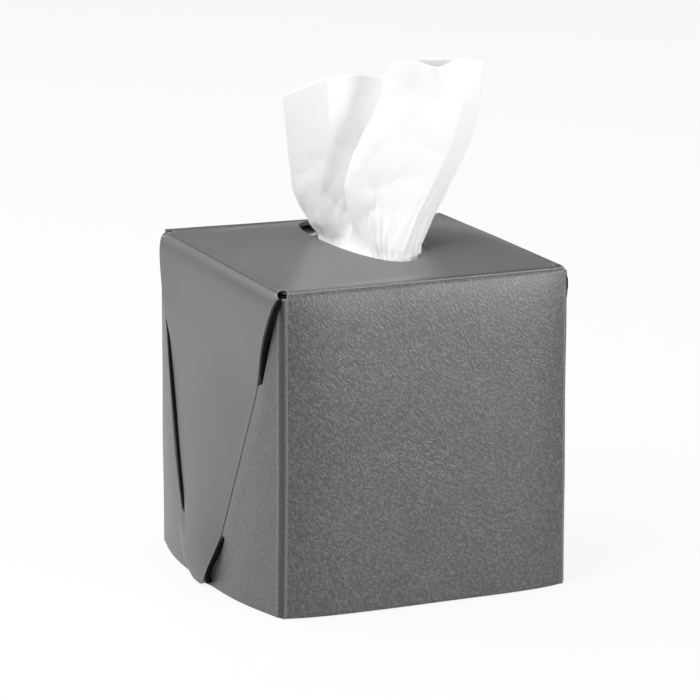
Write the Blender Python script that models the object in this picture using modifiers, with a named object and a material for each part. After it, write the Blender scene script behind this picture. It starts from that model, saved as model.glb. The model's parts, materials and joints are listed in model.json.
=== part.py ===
"""Tissue box cover of scored leather board, held shut by two elastic cords.

One sheet is cut and folded down over a tissue carton: a crowned top with an oval
opening, a front and a back panel that carry on round the corners as wings, and a
tapered flap down each side.  An elastic cord runs from a corner hole down the seam
between wing and flap, behind the tip of the flap, and up to the other corner hole.

Metres, +Z up.  Origin on the table, under the middle of the cover.  Front is -Y.
"""
import math

import bmesh
import bpy
from mathutils import Vector

MM = 0.001

# The folded cover, measured over its creases
WIDTH = 130 * MM
DEPTH = 134 * MM
HEIGHT = 139 * MM
LEATHER = 1.8 * MM
CREASE_GAP = 0.3 * MM
HEM_LIFT = 0.4 * MM
CORNER_HOLE_DIAMETER = 5 * MM

# Top panel: crown over the carton, and the oval opening
CROWN = 8 * MM
CROWN_POWER = 2
OPENING_WIDTH = 44 * MM
OPENING_LENGTH = 92 * MM
OPENING_SIDES = 48
CUT_OVERRUN = 10 * MM

# Front and back panels swell outwards to their hem
PANEL_SWELL = 4.2 * MM
PANEL_SWELL_POWER = 4

# Seam between flap and wing: a straight line from the corner hole to its foot
SEAM_FOOT = 10.3 * MM
CORD_DIAMETER = 2.2 * MM
FLAP_SEAM_CLEARANCE = 0.6 * MM
WING_SEAM_CLEARANCE = 0.4 * MM
WING_WINDOW = 1.2 * MM
UPPER_WINDOW_END = 43 * MM
LOWER_WINDOW_START = 120 * MM
WINDOW_EASE = 3 * MM

# Side flaps: a shoulder just under the crease, then a straight flare to the tip
FLAP_SHOULDER = 3.3 * MM
FLAP_SHOULDER_RUN = 2.6 * MM
FLAP_FLARE = 9.7 * MM
FLAP_TIP_RADIUS = 5 * MM
FLAP_BACK_WIDENING = 3.3 * MM
FLAP_WIDENING_RUN = 26 * MM

# Wings swing out from the upright crease: share of the distance from the crease
WING_SPREAD_SHARE = 0.25
WING_SPREAD_LOSS_SHARE = 0.095
WING_SPREAD_HOLD = 50 * MM

# Stopper knots inside the corner holes
KNOT_DIAMETER = 6.2 * MM
KNOT_LENGTH = 7.4 * MM
KNOT_SEAT_GAP = 0.3 * MM

# The carton that the cover goes over, and what it holds
CARTON_SIDE_CLEARANCE = 7.4 * MM
CARTON_HEADROOM = 0.5 * MM
CARTON_BOARD = 0.6 * MM
CARTON_OPENING_WIDTH = 38 * MM
CARTON_OPENING_LENGTH = 88 * MM
STACK_SIDE_CLEARANCE = 1.5 * MM
STACK_SEAT_GAP = 0.3 * MM
STACK_HEADROOM = 19 * MM
STACK_FOLD_RADIUS = 3 * MM

# The tissue that stands out of the opening
TISSUE_NECK_CLEARANCE = 1.2 * MM
TISSUE_NECK_WIDTH = CARTON_OPENING_WIDTH - 2 * TISSUE_NECK_CLEARANCE
TISSUE_NECK_LENGTH = 72 * MM
TISSUE_TOP = 222 * MM
TISSUE_SPREAD = 87 * MM
TISSUE_THICKNESS = 38 * MM
TISSUE_LEAN = 9 * MM
TISSUE_TURN = math.radians(-23.7)
TISSUE_TILT_SHARE = 0.25
TISSUE_SEAT_GAP = 0.3 * MM

# Folds of the tissue's open part, from its free edge down.  A row has its share of the
# height over the rim, and then its front and its back face from left to right: the
# left edge, a crease, the valley, and four or five places round the roll on the right.
# Each place is a share of half the spread and of half the thickness.
TISSUE_FAN_SHARES = [
    (1.00,
     [(-1.00, -.08), (-.53, -.34), (-.31, .08), (.09, -.42), (.19, -.74), (.40, -.95),
      (.73, -.84), (1.00, -.42)],
     [(-1.00, .08), (-.53, -.18), (-.31, .24), (-.02, .90), (.16, 1.00), (.40, .95),
      (.66, .74), (.87, .42)]),
    (0.65,
     [(-.98, -.08), (-.51, -.50), (-.26, .03), (-.09, -.42), (.02, -.79), (.33, -1.10),
      (.66, -.90), (.93, -.42)],
     [(-.98, .08), (-.51, -.34), (-.26, .18), (-.02, .79), (.14, .90), (.35, .84),
      (.61, .68), (.82, .42)]),
    (0.42,
     [(-.95, -.08), (-.52, -.55), (-.41, -.10), (-.36, -.63), (-.21, -1.00), (.16, -1.26),
      (.52, -1.00), (.80, -.47)],
     [(-.95, .08), (-.54, -.37), (-.38, .10), (-.07, .63), (.09, .74), (.28, .68),
      (.49, .53), (.68, .26)]),
    (0.22,
     [(-.90, -.18), (-.59, -.66), (-.46, -.32), (-.36, -.79), (-.21, -1.21), (.09, -1.47),
      (.40, -1.21), (.62, -.74)],
     [(-.90, -.03), (-.59, -.47), (-.42, -.05), (-.12, .37), (.02, .47), (.19, .37),
      (.38, .16), (.52, -.05)]),
    (0.06,
     [(-.75, -.45), (-.58, -.87), (-.42, -.61), (-.27, -1.00), (-.14, -1.42), (.07, -1.63),
      (.28, -1.47), (.47, -1.05)],
     [(-.75, -.26), (-.56, -.63), (-.40, -.26), (-.14, .00), (-.02, .00), (.09, .00),
      (.26, -.26), (.38, -.53)]),
]
# How far the free edge of each of these folds stops short, as a share of that height
TISSUE_EDGE_DROP_SHARES = [.21, .11, .09, .01, .01, .02, .01, 0]
# The same folds in the neck, as shares of half its width and of half its length
TISSUE_NECK_SHARES = (
    [(-.93, -.08), (-.87, -.26), (-.62, -.29), (-.53, -.56), (-.42, -.75), (-.06, -.90),
     (.31, -.89), (.56, -.75)],
    [(-.93, .03), (-.79, -.08), (-.50, -.11), (-.17, -.08), (.06, -.14), (.28, -.22),
     (.53, -.36), (.67, -.56)])
TISSUE_RIM_SHARE = 1.1
TISSUE_TAIL_SHARE = 0.9

# Route of a cord, from the front corner hole to the back one.  Each point has its
# share of the seam's distance from the middle of the side (front is negative), its
# share of the height below the crease, and how deep the cord's middle lies under the
# flap's outer face, as a share of the leather and the cord together.
CORD_ROUTE_SHARES = [
    (-1, 0.006, 0.08),
    (-1, 0.025, 0.17),
    (-1, 0.058, 0.18),
    (-1, 0.111, 0.17),
    (-1, 0.165, 0.28),
    (-1, 0.218, 0.40),
    (-1, 0.273, 0.54),
    (-1, 0.309, 0.78),
    (-1, 0.360, 1.25),
    (-1, 0.432, 1.30),
    (-1, 0.518, 1.23),
    (-1, 0.604, 1.17),
    (-1, 0.691, 1.17),
    (-1, 0.763, 1.20),
    (-1, 0.808, 1.20),
    (-1, 0.840, 0.86),
    (-1, 0.875, 0.38),
    (-1, 0.914, 0.22),
    (-1, 0.950, 0.26),
    (-1.01, 0.974, 0.52),
    (-0.79, 0.981, 0.90),
    (-0.31, 0.981, 0.97),
    (0.31, 0.981, 0.97),
    (0.79, 0.979, 0.96),
    (0.98, 0.963, 0.97),
    (1, 0.931, 0.95),
    (1, 0.899, 0.92),
    (1, 0.865, 0.85),
    (1, 0.833, 0.60),
    (1, 0.795, 0.36),
    (1, 0.719, 0.37),
    (1, 0.611, 0.41),
    (1, 0.504, 0.45),
    (1, 0.396, 0.48),
    (1, 0.309, 0.50),
    (1, 0.218, 0.38),
    (1, 0.165, 0.28),
    (1, 0.111, 0.17),
    (1, 0.058, 0.18),
    (1, 0.025, 0.17),
    (1, 0.006, 0.08),
]
CORD_STEP = 5 * MM
CORD_BEVEL_RESOLUTION = 2

# Facets
PANEL_COLUMNS = 8
PANEL_ROWS = 8
TOP_CELLS = 14
FLAP_COLUMNS = 6
FLAP_ROWS = 16
WING_COLUMNS = 4
WING_ROWS = 16
HOLE_SEGMENTS = 16
HOLE_RINGS = 10
KNOT_RINGS = 8

CARTON_WIDTH = WIDTH - 2 * (LEATHER + CARTON_SIDE_CLEARANCE)
CARTON_DEPTH = DEPTH - 2 * (LEATHER + CARTON_SIDE_CLEARANCE)
SEAM_SLOPE = (DEPTH / 2 - SEAM_FOOT) / HEIGHT
SEAM_SECANT = math.hypot(1, SEAM_SLOPE)
FOLD_DROP = LEATHER + CREASE_GAP


def clear_scene():
    """Empty the scene and return one collection for the parts and one for cutters."""
    for item in list(bpy.data.objects):
        bpy.data.objects.remove(item, do_unlink=True)
    parts = bpy.data.collections.new("tissue_box_cover")
    cutters = bpy.data.collections.new("cutters")
    for collection in (parts, cutters):
        bpy.context.scene.collection.children.link(collection)
    return parts, cutters


def make_material(name, color, roughness):
    """A plain Principled material."""
    material = bpy.data.materials.new(name)
    material.use_nodes = True
    shader = material.node_tree.nodes["Principled BSDF"]
    shader.inputs["Base Color"].default_value = (*color, 1)
    shader.inputs["Roughness"].default_value = roughness
    shader.inputs["Metallic"].default_value = 0
    return material


def add_object(name, bm, collection, material=None):
    """Turn a bmesh into a named object in a collection."""
    mesh = bpy.data.meshes.new(name)
    bm.to_mesh(mesh)
    bm.free()
    item = bpy.data.objects.new(name, mesh)
    collection.objects.link(item)
    if material:
        mesh.materials.append(material)
    return item


def add_cutter(name, bm, collection):
    """A cutter: kept out of renders and shown as wire."""
    cutter = add_object(name, bm, collection)
    cutter.hide_render = True
    cutter.display_type = "WIRE"
    return cutter


def cut(item, cutter):
    """Take the cutter away from the item."""
    modifier = item.modifiers.new(cutter.name, "BOOLEAN")
    modifier.operation = "DIFFERENCE"
    modifier.solver = "EXACT"
    modifier.object = cutter


def thicken(item):
    """Give an open leather surface its thickness, on the inside."""
    modifier = item.modifiers.new("leather_thickness", "SOLIDIFY")
    modifier.thickness = LEATHER
    modifier.offset = -1
    modifier.use_even_offset = True


def leather_sheet(name, columns, rows, place, outward, collection, material):
    """A sheet whose points go where place(across, along) says, both 0 to 1."""
    bm = bmesh.new()
    bmesh.ops.create_grid(bm, x_segments=columns, y_segments=rows, size=1)
    for vert in bm.verts:
        vert.co = place((vert.co.x + 1) / 2, (vert.co.y + 1) / 2)
    bmesh.ops.recalc_face_normals(bm, faces=bm.faces)
    if sum(face.normal.dot(outward) for face in bm.faces) < 0:
        bmesh.ops.reverse_faces(bm, faces=bm.faces)
    for face in bm.faces:
        face.smooth = True
    item = add_object(name, bm, collection, material)
    thicken(item)
    return item


def crown_height(x, y):
    """Height of the top panel's outer surface."""
    across = 1 - abs(2 * x / WIDTH) ** CROWN_POWER
    along = 1 - abs(2 * y / DEPTH) ** CROWN_POWER
    return HEIGHT + CROWN * across * along


def crown_underside(x, y):
    """Height of the top panel's inner surface, square to its slope."""
    step = LEATHER
    slope_x = (crown_height(x + step, y) - crown_height(x - step, y)) / (2 * step)
    slope_y = (crown_height(x, y + step) - crown_height(x, y - step)) / (2 * step)
    return crown_height(x, y) - LEATHER * math.sqrt(1 + slope_x ** 2 + slope_y ** 2)


def seam_distance(drop):
    """How far the seam lies from the middle of the side, at a drop below the crease."""
    return DEPTH / 2 - SEAM_SLOPE * drop


def flap_bulge(drop):
    """How far the flap's outer face stands out past the crease."""
    shoulder = FLAP_SHOULDER * (1 - math.exp(-drop / FLAP_SHOULDER_RUN))
    return shoulder + FLAP_FLARE * drop / HEIGHT


def wing_bulge(reach, drop):
    """How far a wing's outer face stands out, at a reach from its upright crease."""
    below = max(drop - WING_SPREAD_HOLD, 0) / (HEIGHT - WING_SPREAD_HOLD)
    return reach * (WING_SPREAD_SHARE - WING_SPREAD_LOSS_SHARE * below ** 2)


def window_share(drop):
    """1 where the cord shows in a window of the seam, 0 where the wing lies beside it."""
    upper = (UPPER_WINDOW_END - drop) / WINDOW_EASE
    lower = (drop - LOWER_WINDOW_START) / WINDOW_EASE
    return min(max(upper, lower, 0), 1)


def wing_reach(drop):
    """How far the wing's free edge lies from its upright crease."""
    beside = CORD_DIAMETER / 2 + WING_SEAM_CLEARANCE + WING_WINDOW * window_share(drop)
    return DEPTH / 2 - seam_distance(drop) - beside * SEAM_SECANT


def top_panel(parts, cutters, material):
    """Crowned top with the oval opening and the four corner holes."""

    def place(across, along):
        x = (across - 1 / 2) * WIDTH
        y = (along - 1 / 2) * DEPTH
        return Vector((x, y, crown_height(x, y)))

    outward = Vector((0, 0, 1))
    item = leather_sheet(
        "top_panel", TOP_CELLS, TOP_CELLS, place, outward, parts, material)
    cut(item, oval_cutter("opening_cutter", OPENING_WIDTH, OPENING_LENGTH, HEIGHT, cutters))
    return item


def oval_cutter(name, width, length, level, cutters):
    """An upright oval prism across the given level."""
    bm = bmesh.new()
    bmesh.ops.create_cone(
        bm, cap_ends=True, segments=OPENING_SIDES,
        radius1=width / 2, radius2=width / 2, depth=2 * CUT_OVERRUN)
    bmesh.ops.scale(bm, vec=(1, length / width, 1), verts=bm.verts)
    bmesh.ops.translate(bm, vec=(0, 0, level), verts=bm.verts)
    return add_cutter(name, bm, cutters)


def corner_hole_cutter(side, end, cutters):
    """A ball on the corner, so that the sheet's creases end in a round hole."""
    bm = bmesh.new()
    bmesh.ops.create_uvsphere(
        bm, u_segments=HOLE_SEGMENTS, v_segments=HOLE_RINGS,
        radius=CORNER_HOLE_DIAMETER / 2)
    bmesh.ops.translate(
        bm, vec=(side * WIDTH / 2, end * DEPTH / 2, HEIGHT), verts=bm.verts)
    return add_cutter(f"corner_hole_cutter_{side:+d}_{end:+d}", bm, cutters)


def end_panel(name, end, parts, material):
    """Front (end -1) or back (end +1) panel, hanging under the top's crease."""

    def place(across, along):
        x = (across - 1 / 2) * WIDTH
        drop = FOLD_DROP + along * (HEIGHT - HEM_LIFT - FOLD_DROP)
        swell = PANEL_SWELL * math.sin(math.pi / 2 * drop / HEIGHT)
        swell *= 1 - abs(2 * x / WIDTH) ** PANEL_SWELL_POWER
        return Vector((x, end * (DEPTH / 2 + swell), HEIGHT - drop))

    outward = Vector((0, end, 0))
    return leather_sheet(name, PANEL_COLUMNS, PANEL_ROWS, place, outward, parts, material)


def flap_half_width(drop, end):
    """Half-width of a side flap towards its front (end -1) or back (end +1) edge."""
    edge = seam_distance(drop) - (CORD_DIAMETER / 2 + FLAP_SEAM_CLEARANCE) * SEAM_SECANT
    foot = HEIGHT - HEM_LIFT
    if end > 0:
        run = 1 - (foot - drop) / FLAP_WIDENING_RUN
        edge += FLAP_BACK_WIDENING * min(max(run, 0), 1)
    left = foot - drop
    if left < FLAP_TIP_RADIUS:
        inset = FLAP_TIP_RADIUS - left
        edge -= FLAP_TIP_RADIUS - math.sqrt(max(FLAP_TIP_RADIUS ** 2 - inset ** 2, 0))
    return edge


def side_flap(name, side, parts, material):
    """Tapered flap on the left (side -1) or right (side +1), with a round tip."""

    def place(across, along):
        eased = (1 - math.cos(math.pi * along)) / 2
        drop = FOLD_DROP + eased * (HEIGHT - HEM_LIFT - FOLD_DROP)
        front = -flap_half_width(drop, -1)
        back = flap_half_width(drop, 1)
        y = front + across * (back - front)
        return Vector((side * (WIDTH / 2 + flap_bulge(drop)), y, HEIGHT - drop))

    outward = Vector((side, 0, 0))
    return leather_sheet(name, FLAP_COLUMNS, FLAP_ROWS, place, outward, parts, material)


def wing(name, side, end, parts, material):
    """Triangular wing that carries an end panel round one upright corner."""
    start_drop = UPPER_WINDOW_END
    while wing_reach(start_drop) > FOLD_DROP + LEATHER:
        start_drop -= CREASE_GAP

    def place(across, along):
        drop = start_drop + along * (HEIGHT - HEM_LIFT - start_drop)
        reach = FOLD_DROP + across * (wing_reach(drop) - FOLD_DROP)
        x = side * (WIDTH / 2 + wing_bulge(reach, drop))
        return Vector((x, end * (DEPTH / 2 - reach), HEIGHT - drop))

    outward = Vector((side, 0, 0))
    return leather_sheet(name, WING_COLUMNS, WING_ROWS, place, outward, parts, material)


def smooth_route(points, step):
    """Points about one step apart on a smooth curve through the given points."""
    padded = [2 * points[0] - points[1], *points, 2 * points[-1] - points[-2]]
    curve = [points[0]]
    for before, start, finish, after in zip(padded, padded[1:], padded[2:], padded[3:]):
        count = max(1, round((finish - start).length / step))
        for index in range(1, count + 1):
            t = index / count
            curve.append((
                2 * start + (finish - before) * t
                + (2 * before - 5 * start + 4 * finish - after) * t ** 2
                + (3 * start - before - 3 * finish + after) * t ** 3) / 2)
    return curve


def add_tube(name, points, radii, parts, material):
    """A round tube through the points, each with its own radius."""
    curve = bpy.data.curves.new(name, "CURVE")
    curve.dimensions = "3D"
    curve.bevel_depth = max(radii)
    curve.bevel_resolution = CORD_BEVEL_RESOLUTION
    curve.use_fill_caps = True
    spline = curve.splines.new("POLY")
    spline.points.add(len(points) - 1)
    for spline_point, point, radius in zip(spline.points, points, radii):
        spline_point.co = (*point, 1)
        spline_point.radius = radius / curve.bevel_depth
    spline.use_smooth = True
    curve.materials.append(material)
    item = bpy.data.objects.new(name, curve)
    parts.objects.link(item)
    return item


def elastic_cord(name, side, parts, material):
    """One elastic cord, hole to hole: down the seam, behind the tip, and up again."""
    route = []
    for reach_share, drop_share, sink_share in CORD_ROUTE_SHARES:
        drop = drop_share * HEIGHT
        bulge = flap_bulge(drop) - sink_share * (LEATHER + CORD_DIAMETER)
        y = reach_share * seam_distance(drop)
        route.append(Vector((side * (WIDTH / 2 + bulge), y, HEIGHT - drop)))
    points = smooth_route(route, CORD_STEP)
    radii = [CORD_DIAMETER / 2] * len(points)
    return add_tube(name, points, radii, parts, material)


def cord_knot(name, side, end, parts, material):
    """Stopper knot under the top panel, inside a corner hole."""
    radius = KNOT_DIAMETER / 2
    inset = LEATHER + CREASE_GAP + radius
    x = side * (WIDTH / 2 - inset)
    y = end * (DEPTH / 2 - inset)
    z = HEIGHT - LEATHER - KNOT_SEAT_GAP - radius
    centre = Vector((x, y, z))
    axis = Vector((side, end, 0)).normalized()
    shares = [-math.cos(math.pi * ring / KNOT_RINGS) for ring in range(KNOT_RINGS + 1)]
    points = [centre + axis * (KNOT_LENGTH / 2 * share) for share in shares]
    least = CORD_DIAMETER / 2
    radii = [max(least, radius * math.sqrt(1 - share ** 2)) for share in shares]
    return add_tube(name, points, radii, parts, material)


def add_block(name, width, depth, low, high, collection):
    """An upright box as a bmesh, centred on the Z axis."""
    bm = bmesh.new()
    bmesh.ops.create_cube(bm, size=1)
    bmesh.ops.scale(bm, vec=(width, depth, high - low), verts=bm.verts)
    bmesh.ops.translate(bm, vec=(0, 0, (low + high) / 2), verts=bm.verts)
    return add_object(name, bm, collection)


def carton_top():
    """Height of the carton: its corners stop just under the crowned leather."""
    return crown_underside(CARTON_WIDTH / 2, CARTON_DEPTH / 2) - CARTON_HEADROOM


def stack_top():
    """Height of the folded tissues in the carton."""
    return carton_top() - STACK_HEADROOM


def tissue_carton(parts, cutters, material):
    """Cardboard carton with an oval opening."""
    item = add_block("tissue_carton", CARTON_WIDTH, CARTON_DEPTH, 0, carton_top(), parts)
    item.data.materials.append(material)
    hollow = add_block(
        "carton_hollow_cutter", CARTON_WIDTH - 2 * CARTON_BOARD,
        CARTON_DEPTH - 2 * CARTON_BOARD, CARTON_BOARD, carton_top() - CARTON_BOARD, cutters)
    hollow.hide_render = True
    hollow.display_type = "WIRE"
    cut(item, hollow)
    cut(item, oval_cutter(
        "carton_opening_cutter", CARTON_OPENING_WIDTH, CARTON_OPENING_LENGTH,
        carton_top(), cutters))
    return item


def tissue_stack(parts, material):
    """The folded tissues, a block with round fold edges."""
    inset = CARTON_BOARD + STACK_SIDE_CLEARANCE
    item = add_block(
        "tissue_stack", CARTON_WIDTH - 2 * inset, CARTON_DEPTH - 2 * inset,
        CARTON_BOARD + STACK_SEAT_GAP, stack_top(), parts)
    item.data.materials.append(material)
    bevel = item.modifiers.new("fold_edges", "BEVEL")
    bevel.width = STACK_FOLD_RADIUS
    bevel.segments = 2
    return item


def tissue_levels():
    """Front and back places of the tissue's folds at each level, from the top down."""
    rim = HEIGHT + CROWN
    foot = stack_top() + TISSUE_SEAT_GAP
    right_dir = Vector((math.cos(TISSUE_TURN), math.sin(TISSUE_TURN), 0))
    back_dir = Vector((-right_dir.y, right_dir.x, 0))
    levels = []
    for rise, *faces in TISSUE_FAN_SHARES:
        level = []
        for face in faces:
            places = []
            for (right_share, back_share), drop in zip(face, TISSUE_EDGE_DROP_SHARES):
                right = TISSUE_LEAN + right_share * TISSUE_SPREAD / 2
                back = back_share * TISSUE_THICKNESS / 2
                over_rim = rise - drop if rise == 1 else rise
                height = rim + (TISSUE_TOP - rim) * over_rim - TISSUE_TILT_SHARE * back
                places.append(right_dir * right + back_dir * back + Vector((0, 0, height)))
            level.append(places)
        levels.append(level)
    for scale, height in (
            (TISSUE_RIM_SHARE, rim), (1, carton_top()),
            (TISSUE_TAIL_SHARE, (carton_top() + foot) / 2), (TISSUE_TAIL_SHARE, foot)):
        levels.append([
            [Vector((
                x_share * scale * TISSUE_NECK_WIDTH / 2,
                y_share * scale * TISSUE_NECK_LENGTH / 2, height))
             for x_share, y_share in face]
            for face in TISSUE_NECK_SHARES])
    return levels


def pulled_tissue(parts, material):
    """The raised tissue: a tail and a narrow neck, a thin lobe and a roll beside it."""
    levels = tissue_levels()
    columns, rows = len(levels[0][0]) - 1, len(levels) - 1
    bm = bmesh.new()
    bmesh.ops.create_grid(bm, x_segments=columns, y_segments=rows, size=1)
    to_back = bm.verts.layers.float_vector.new("to_back")
    is_free = bm.verts.layers.int.new("is_free")
    for vert in bm.verts:
        column = round((vert.co.x + 1) / 2 * columns)
        front, back = levels[round((1 - vert.co.y) / 2 * rows)]
        vert[is_free] = column < columns
        vert.co = front[column]
        vert[to_back] = back[column] - front[column]
    crease = bm.edges.layers.float.new("crease_edge")
    for edge in bm.edges:
        ends = [vert[is_free] for vert in edge.verts]
        edge[crease] = 1 if edge.is_boundary and all(ends) else 0
    made = bmesh.ops.extrude_face_region(bm, geom=bm.faces[:])
    for item in made["geom"]:
        if isinstance(item, bmesh.types.BMVert):
            item.co += item[to_back]
    bmesh.ops.recalc_face_normals(bm, faces=bm.faces)
    for face in bm.faces:
        face.smooth = True
    item = add_object("pulled_tissue", bm, parts, material)
    rounding = item.modifiers.new("soft_folds", "SUBSURF")
    rounding.levels = 1
    rounding.render_levels = 1
    return item


def build():
    """Model every piece of the cover and what it holds."""
    parts, cutters = clear_scene()
    leather = make_material("grey_bonded_leather", (0.2, 0.2, 0.2), 0.6)
    elastic = make_material("black_elastic_cord", (0.015, 0.015, 0.015), 0.7)
    card = make_material("white_carton_board", (0.7, 0.7, 0.68), 0.7)
    paper = make_material("white_tissue_paper", (0.85, 0.85, 0.85), 0.95)

    holes = {
        (side, end): corner_hole_cutter(side, end, cutters)
        for side in (-1, 1) for end in (-1, 1)}
    top = top_panel(parts, cutters, leather)
    for hole in holes.values():
        cut(top, hole)
    for end_name, end in (("front", -1), ("back", 1)):
        panel = end_panel(f"{end_name}_panel", end, parts, leather)
        for side in (-1, 1):
            cut(panel, holes[side, end])
    for side_name, side in (("left", -1), ("right", 1)):
        side_flap(f"{side_name}_flap", side, parts, leather)
        elastic_cord(f"{side_name}_elastic_cord", side, parts, elastic)
        for end_name, end in (("front", -1), ("back", 1)):
            wing(f"{end_name}_{side_name}_wing", side, end, parts, leather)
            cord_knot(f"{end_name}_{side_name}_cord_knot", side, end, parts, elastic)
    tissue_carton(parts, cutters, card)
    tissue_stack(parts, paper)
    pulled_tissue(parts, paper)


build()
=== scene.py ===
"""Tissue box cover: grey leather board folded over a tissue carton, with two elastic cords."""
import json
import math

import bmesh
import bpy
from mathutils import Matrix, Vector, noise


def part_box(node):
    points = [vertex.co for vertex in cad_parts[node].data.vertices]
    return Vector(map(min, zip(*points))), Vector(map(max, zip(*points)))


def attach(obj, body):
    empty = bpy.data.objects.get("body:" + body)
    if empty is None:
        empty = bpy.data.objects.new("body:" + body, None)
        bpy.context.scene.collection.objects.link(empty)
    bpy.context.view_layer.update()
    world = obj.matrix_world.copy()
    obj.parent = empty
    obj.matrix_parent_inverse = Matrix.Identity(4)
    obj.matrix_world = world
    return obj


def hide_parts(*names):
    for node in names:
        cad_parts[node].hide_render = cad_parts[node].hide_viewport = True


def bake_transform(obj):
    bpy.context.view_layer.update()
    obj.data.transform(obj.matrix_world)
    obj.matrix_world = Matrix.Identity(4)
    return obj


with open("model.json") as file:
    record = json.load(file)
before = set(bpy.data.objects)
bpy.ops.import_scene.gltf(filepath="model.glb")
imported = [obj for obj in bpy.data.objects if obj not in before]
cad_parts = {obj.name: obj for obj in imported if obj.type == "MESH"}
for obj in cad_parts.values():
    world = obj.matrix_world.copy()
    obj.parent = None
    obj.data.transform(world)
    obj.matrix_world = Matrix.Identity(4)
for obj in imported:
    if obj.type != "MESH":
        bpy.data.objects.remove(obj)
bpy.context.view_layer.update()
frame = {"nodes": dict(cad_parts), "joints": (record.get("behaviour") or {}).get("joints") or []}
MM = 0.001

# Camera.  It stands in front of the left corner and a little above the cover, far off
# with a long lens, so that the upright folds stay parallel.
CAMERA_PLACE = Vector((-0.8118, -1.8512, 0.5811))
CAMERA_TARGET = Vector((-0.0024, 0.0074, 0.0931))
CAMERA_LENS_MM = 248
CAMERA_REACH = 20

camera_data = bpy.data.cameras.new("camera")
camera_data.lens = CAMERA_LENS_MM
camera_data.clip_end = CAMERA_REACH
camera = bpy.data.objects.new("camera", camera_data)
camera.location = CAMERA_PLACE
camera.rotation_euler = (CAMERA_TARGET - CAMERA_PLACE).to_track_quat("-Z", "Y").to_euler()
bpy.context.scene.collection.objects.link(camera)
bpy.context.scene.camera = camera
bpy.context.scene.view_settings.view_transform = "Standard"

# Floor and light.  A plain white floor that keeps a soft shadow, soft lamps on the left,
# above, behind and to the front right, and a pale surround.
WHITE = (1, 1, 1, 1)
FLOOR_COLOR = (0.8, 0.8, 0.8, 1)
FLOOR_SIZE = 12
FLOOR_SHADOW_SHARE = 0.12
SURROUND_LEVEL = 0.2
LAMPS = {
    "left_lamp": ((-1.1, -0.5, 1.5), 1.0, 17.5),
    "back_left_lamp": ((-1.0, 1.0, 0.9), 1.0, 9),
    "top_lamp": ((0.0, 0.0, 1.8), 1.0, 12),
    "back_lamp": ((0.0, 0.95, 1.35), 0.9, 3),
    "front_right_lamp": ((0.92, -1.54, 0.27), 0.5, 15),
}
LAMP_AIM = Vector((0, 0, 0.08))


class Value:
    """A shader value, from which sums add their Math nodes."""

    def __init__(self, material, socket):
        self.material = material
        self.socket = socket

    def math(self, operation, *others):
        return self.material.node("Math", {"operation": operation}, [self, *others])

    def __add__(self, other):
        return self.math("ADD", other)

    def __sub__(self, other):
        return self.math("SUBTRACT", other)

    def __mul__(self, other):
        return self.math("MULTIPLY", other)

    def __truediv__(self, other):
        return self.math("DIVIDE", other)

    def __rsub__(self, other):
        return self.material.node("Math", {"operation": "SUBTRACT"}, [other, self])

    __radd__ = __add__
    __rmul__ = __mul__


class Finish:
    """A material whose nodes are added one by one."""

    def __init__(self, name):
        self.material = bpy.data.materials.new(name)
        self.material.use_nodes = True
        self.tree = self.material.node_tree
        self.shader = self.tree.nodes["Principled BSDF"]
        self.out = self.tree.nodes["Material Output"]

    def put(self, socket, value):
        """Set a socket to a number or a colour, or link it to a value."""
        if isinstance(value, Value):
            self.tree.links.new(value.socket, socket)
        else:
            socket.default_value = value

    def node(self, kind, settings=None, values=(), output=None):
        """Add a node; its values are a list in the sockets' order, or go by name."""
        made = self.tree.nodes.new("ShaderNode" + kind)
        for key, setting in (settings or {}).items():
            setattr(made, key, setting)
        sockets = [socket for socket in made.inputs if socket.enabled]
        if isinstance(values, dict):
            named = {socket.name: socket for socket in sockets}
            for key, value in values.items():
                self.put(named[key], value)
        else:
            for socket, value in zip(sockets, values):
                self.put(socket, value)
        outputs = [socket for socket in made.outputs if socket.enabled]
        if output:
            outputs = [socket for socket in outputs if socket.name == output]
        return Value(self, outputs[0])

    def set(self, **values):
        """Set the shader's own sockets."""
        for key, value in values.items():
            self.put(self.shader.inputs[key.replace("_", " ")], value)

    def place(self):
        return self.node("TexCoord", output="Object")

    def noise(self, place, size, detail=2, roughness=0.5):
        """Cloudy pattern from 0 to 1, whose lumps are about the given size in metres."""
        return self.node(
            "TexNoise", values={
                "Vector": place, "Scale": 1 / size, "Detail": detail, "Roughness": roughness})

    def ramp(self, value, low, high, least=0.0):
        """Rise evenly from the least to 1, while the value goes from low to high."""
        return self.node("MapRange", values={
            "Value": value, "From Min": low, "From Max": high, "To Min": least, "To Max": 1.0})

    def mix(self, share, first, second):
        """A colour between two, nearer to the second with a larger share."""
        return self.node(
            "Mix", {"data_type": "RGBA"}, {"Factor": share, "A": first, "B": second})

    def bump(self, height, depth, normal=None):
        """Relief of the given depth in metres, from a height of 0 to 1."""
        values = {"Height": height, "Distance": depth, "Strength": 1.0}
        if normal:
            values["Normal"] = normal
        return self.node("Bump", values=values)


def white_to_the_eye(finish, shader, share):
    """Where the camera or a gloss looks straight at it, show white over the shader."""
    path = {name: finish.node("LightPath", output=name)
            for name in ("Is Camera Ray", "Is Glossy Ray", "Is Transmission Ray")}
    seen = path["Is Camera Ray"].math("MAXIMUM", path["Is Glossy Ray"])
    seen = seen.math("MAXIMUM", path["Is Transmission Ray"])
    white = finish.node("Emission", values={"Color": WHITE, "Strength": 1.0})
    return finish.node("MixShader", values=[seen * share, shader, white])


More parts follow.
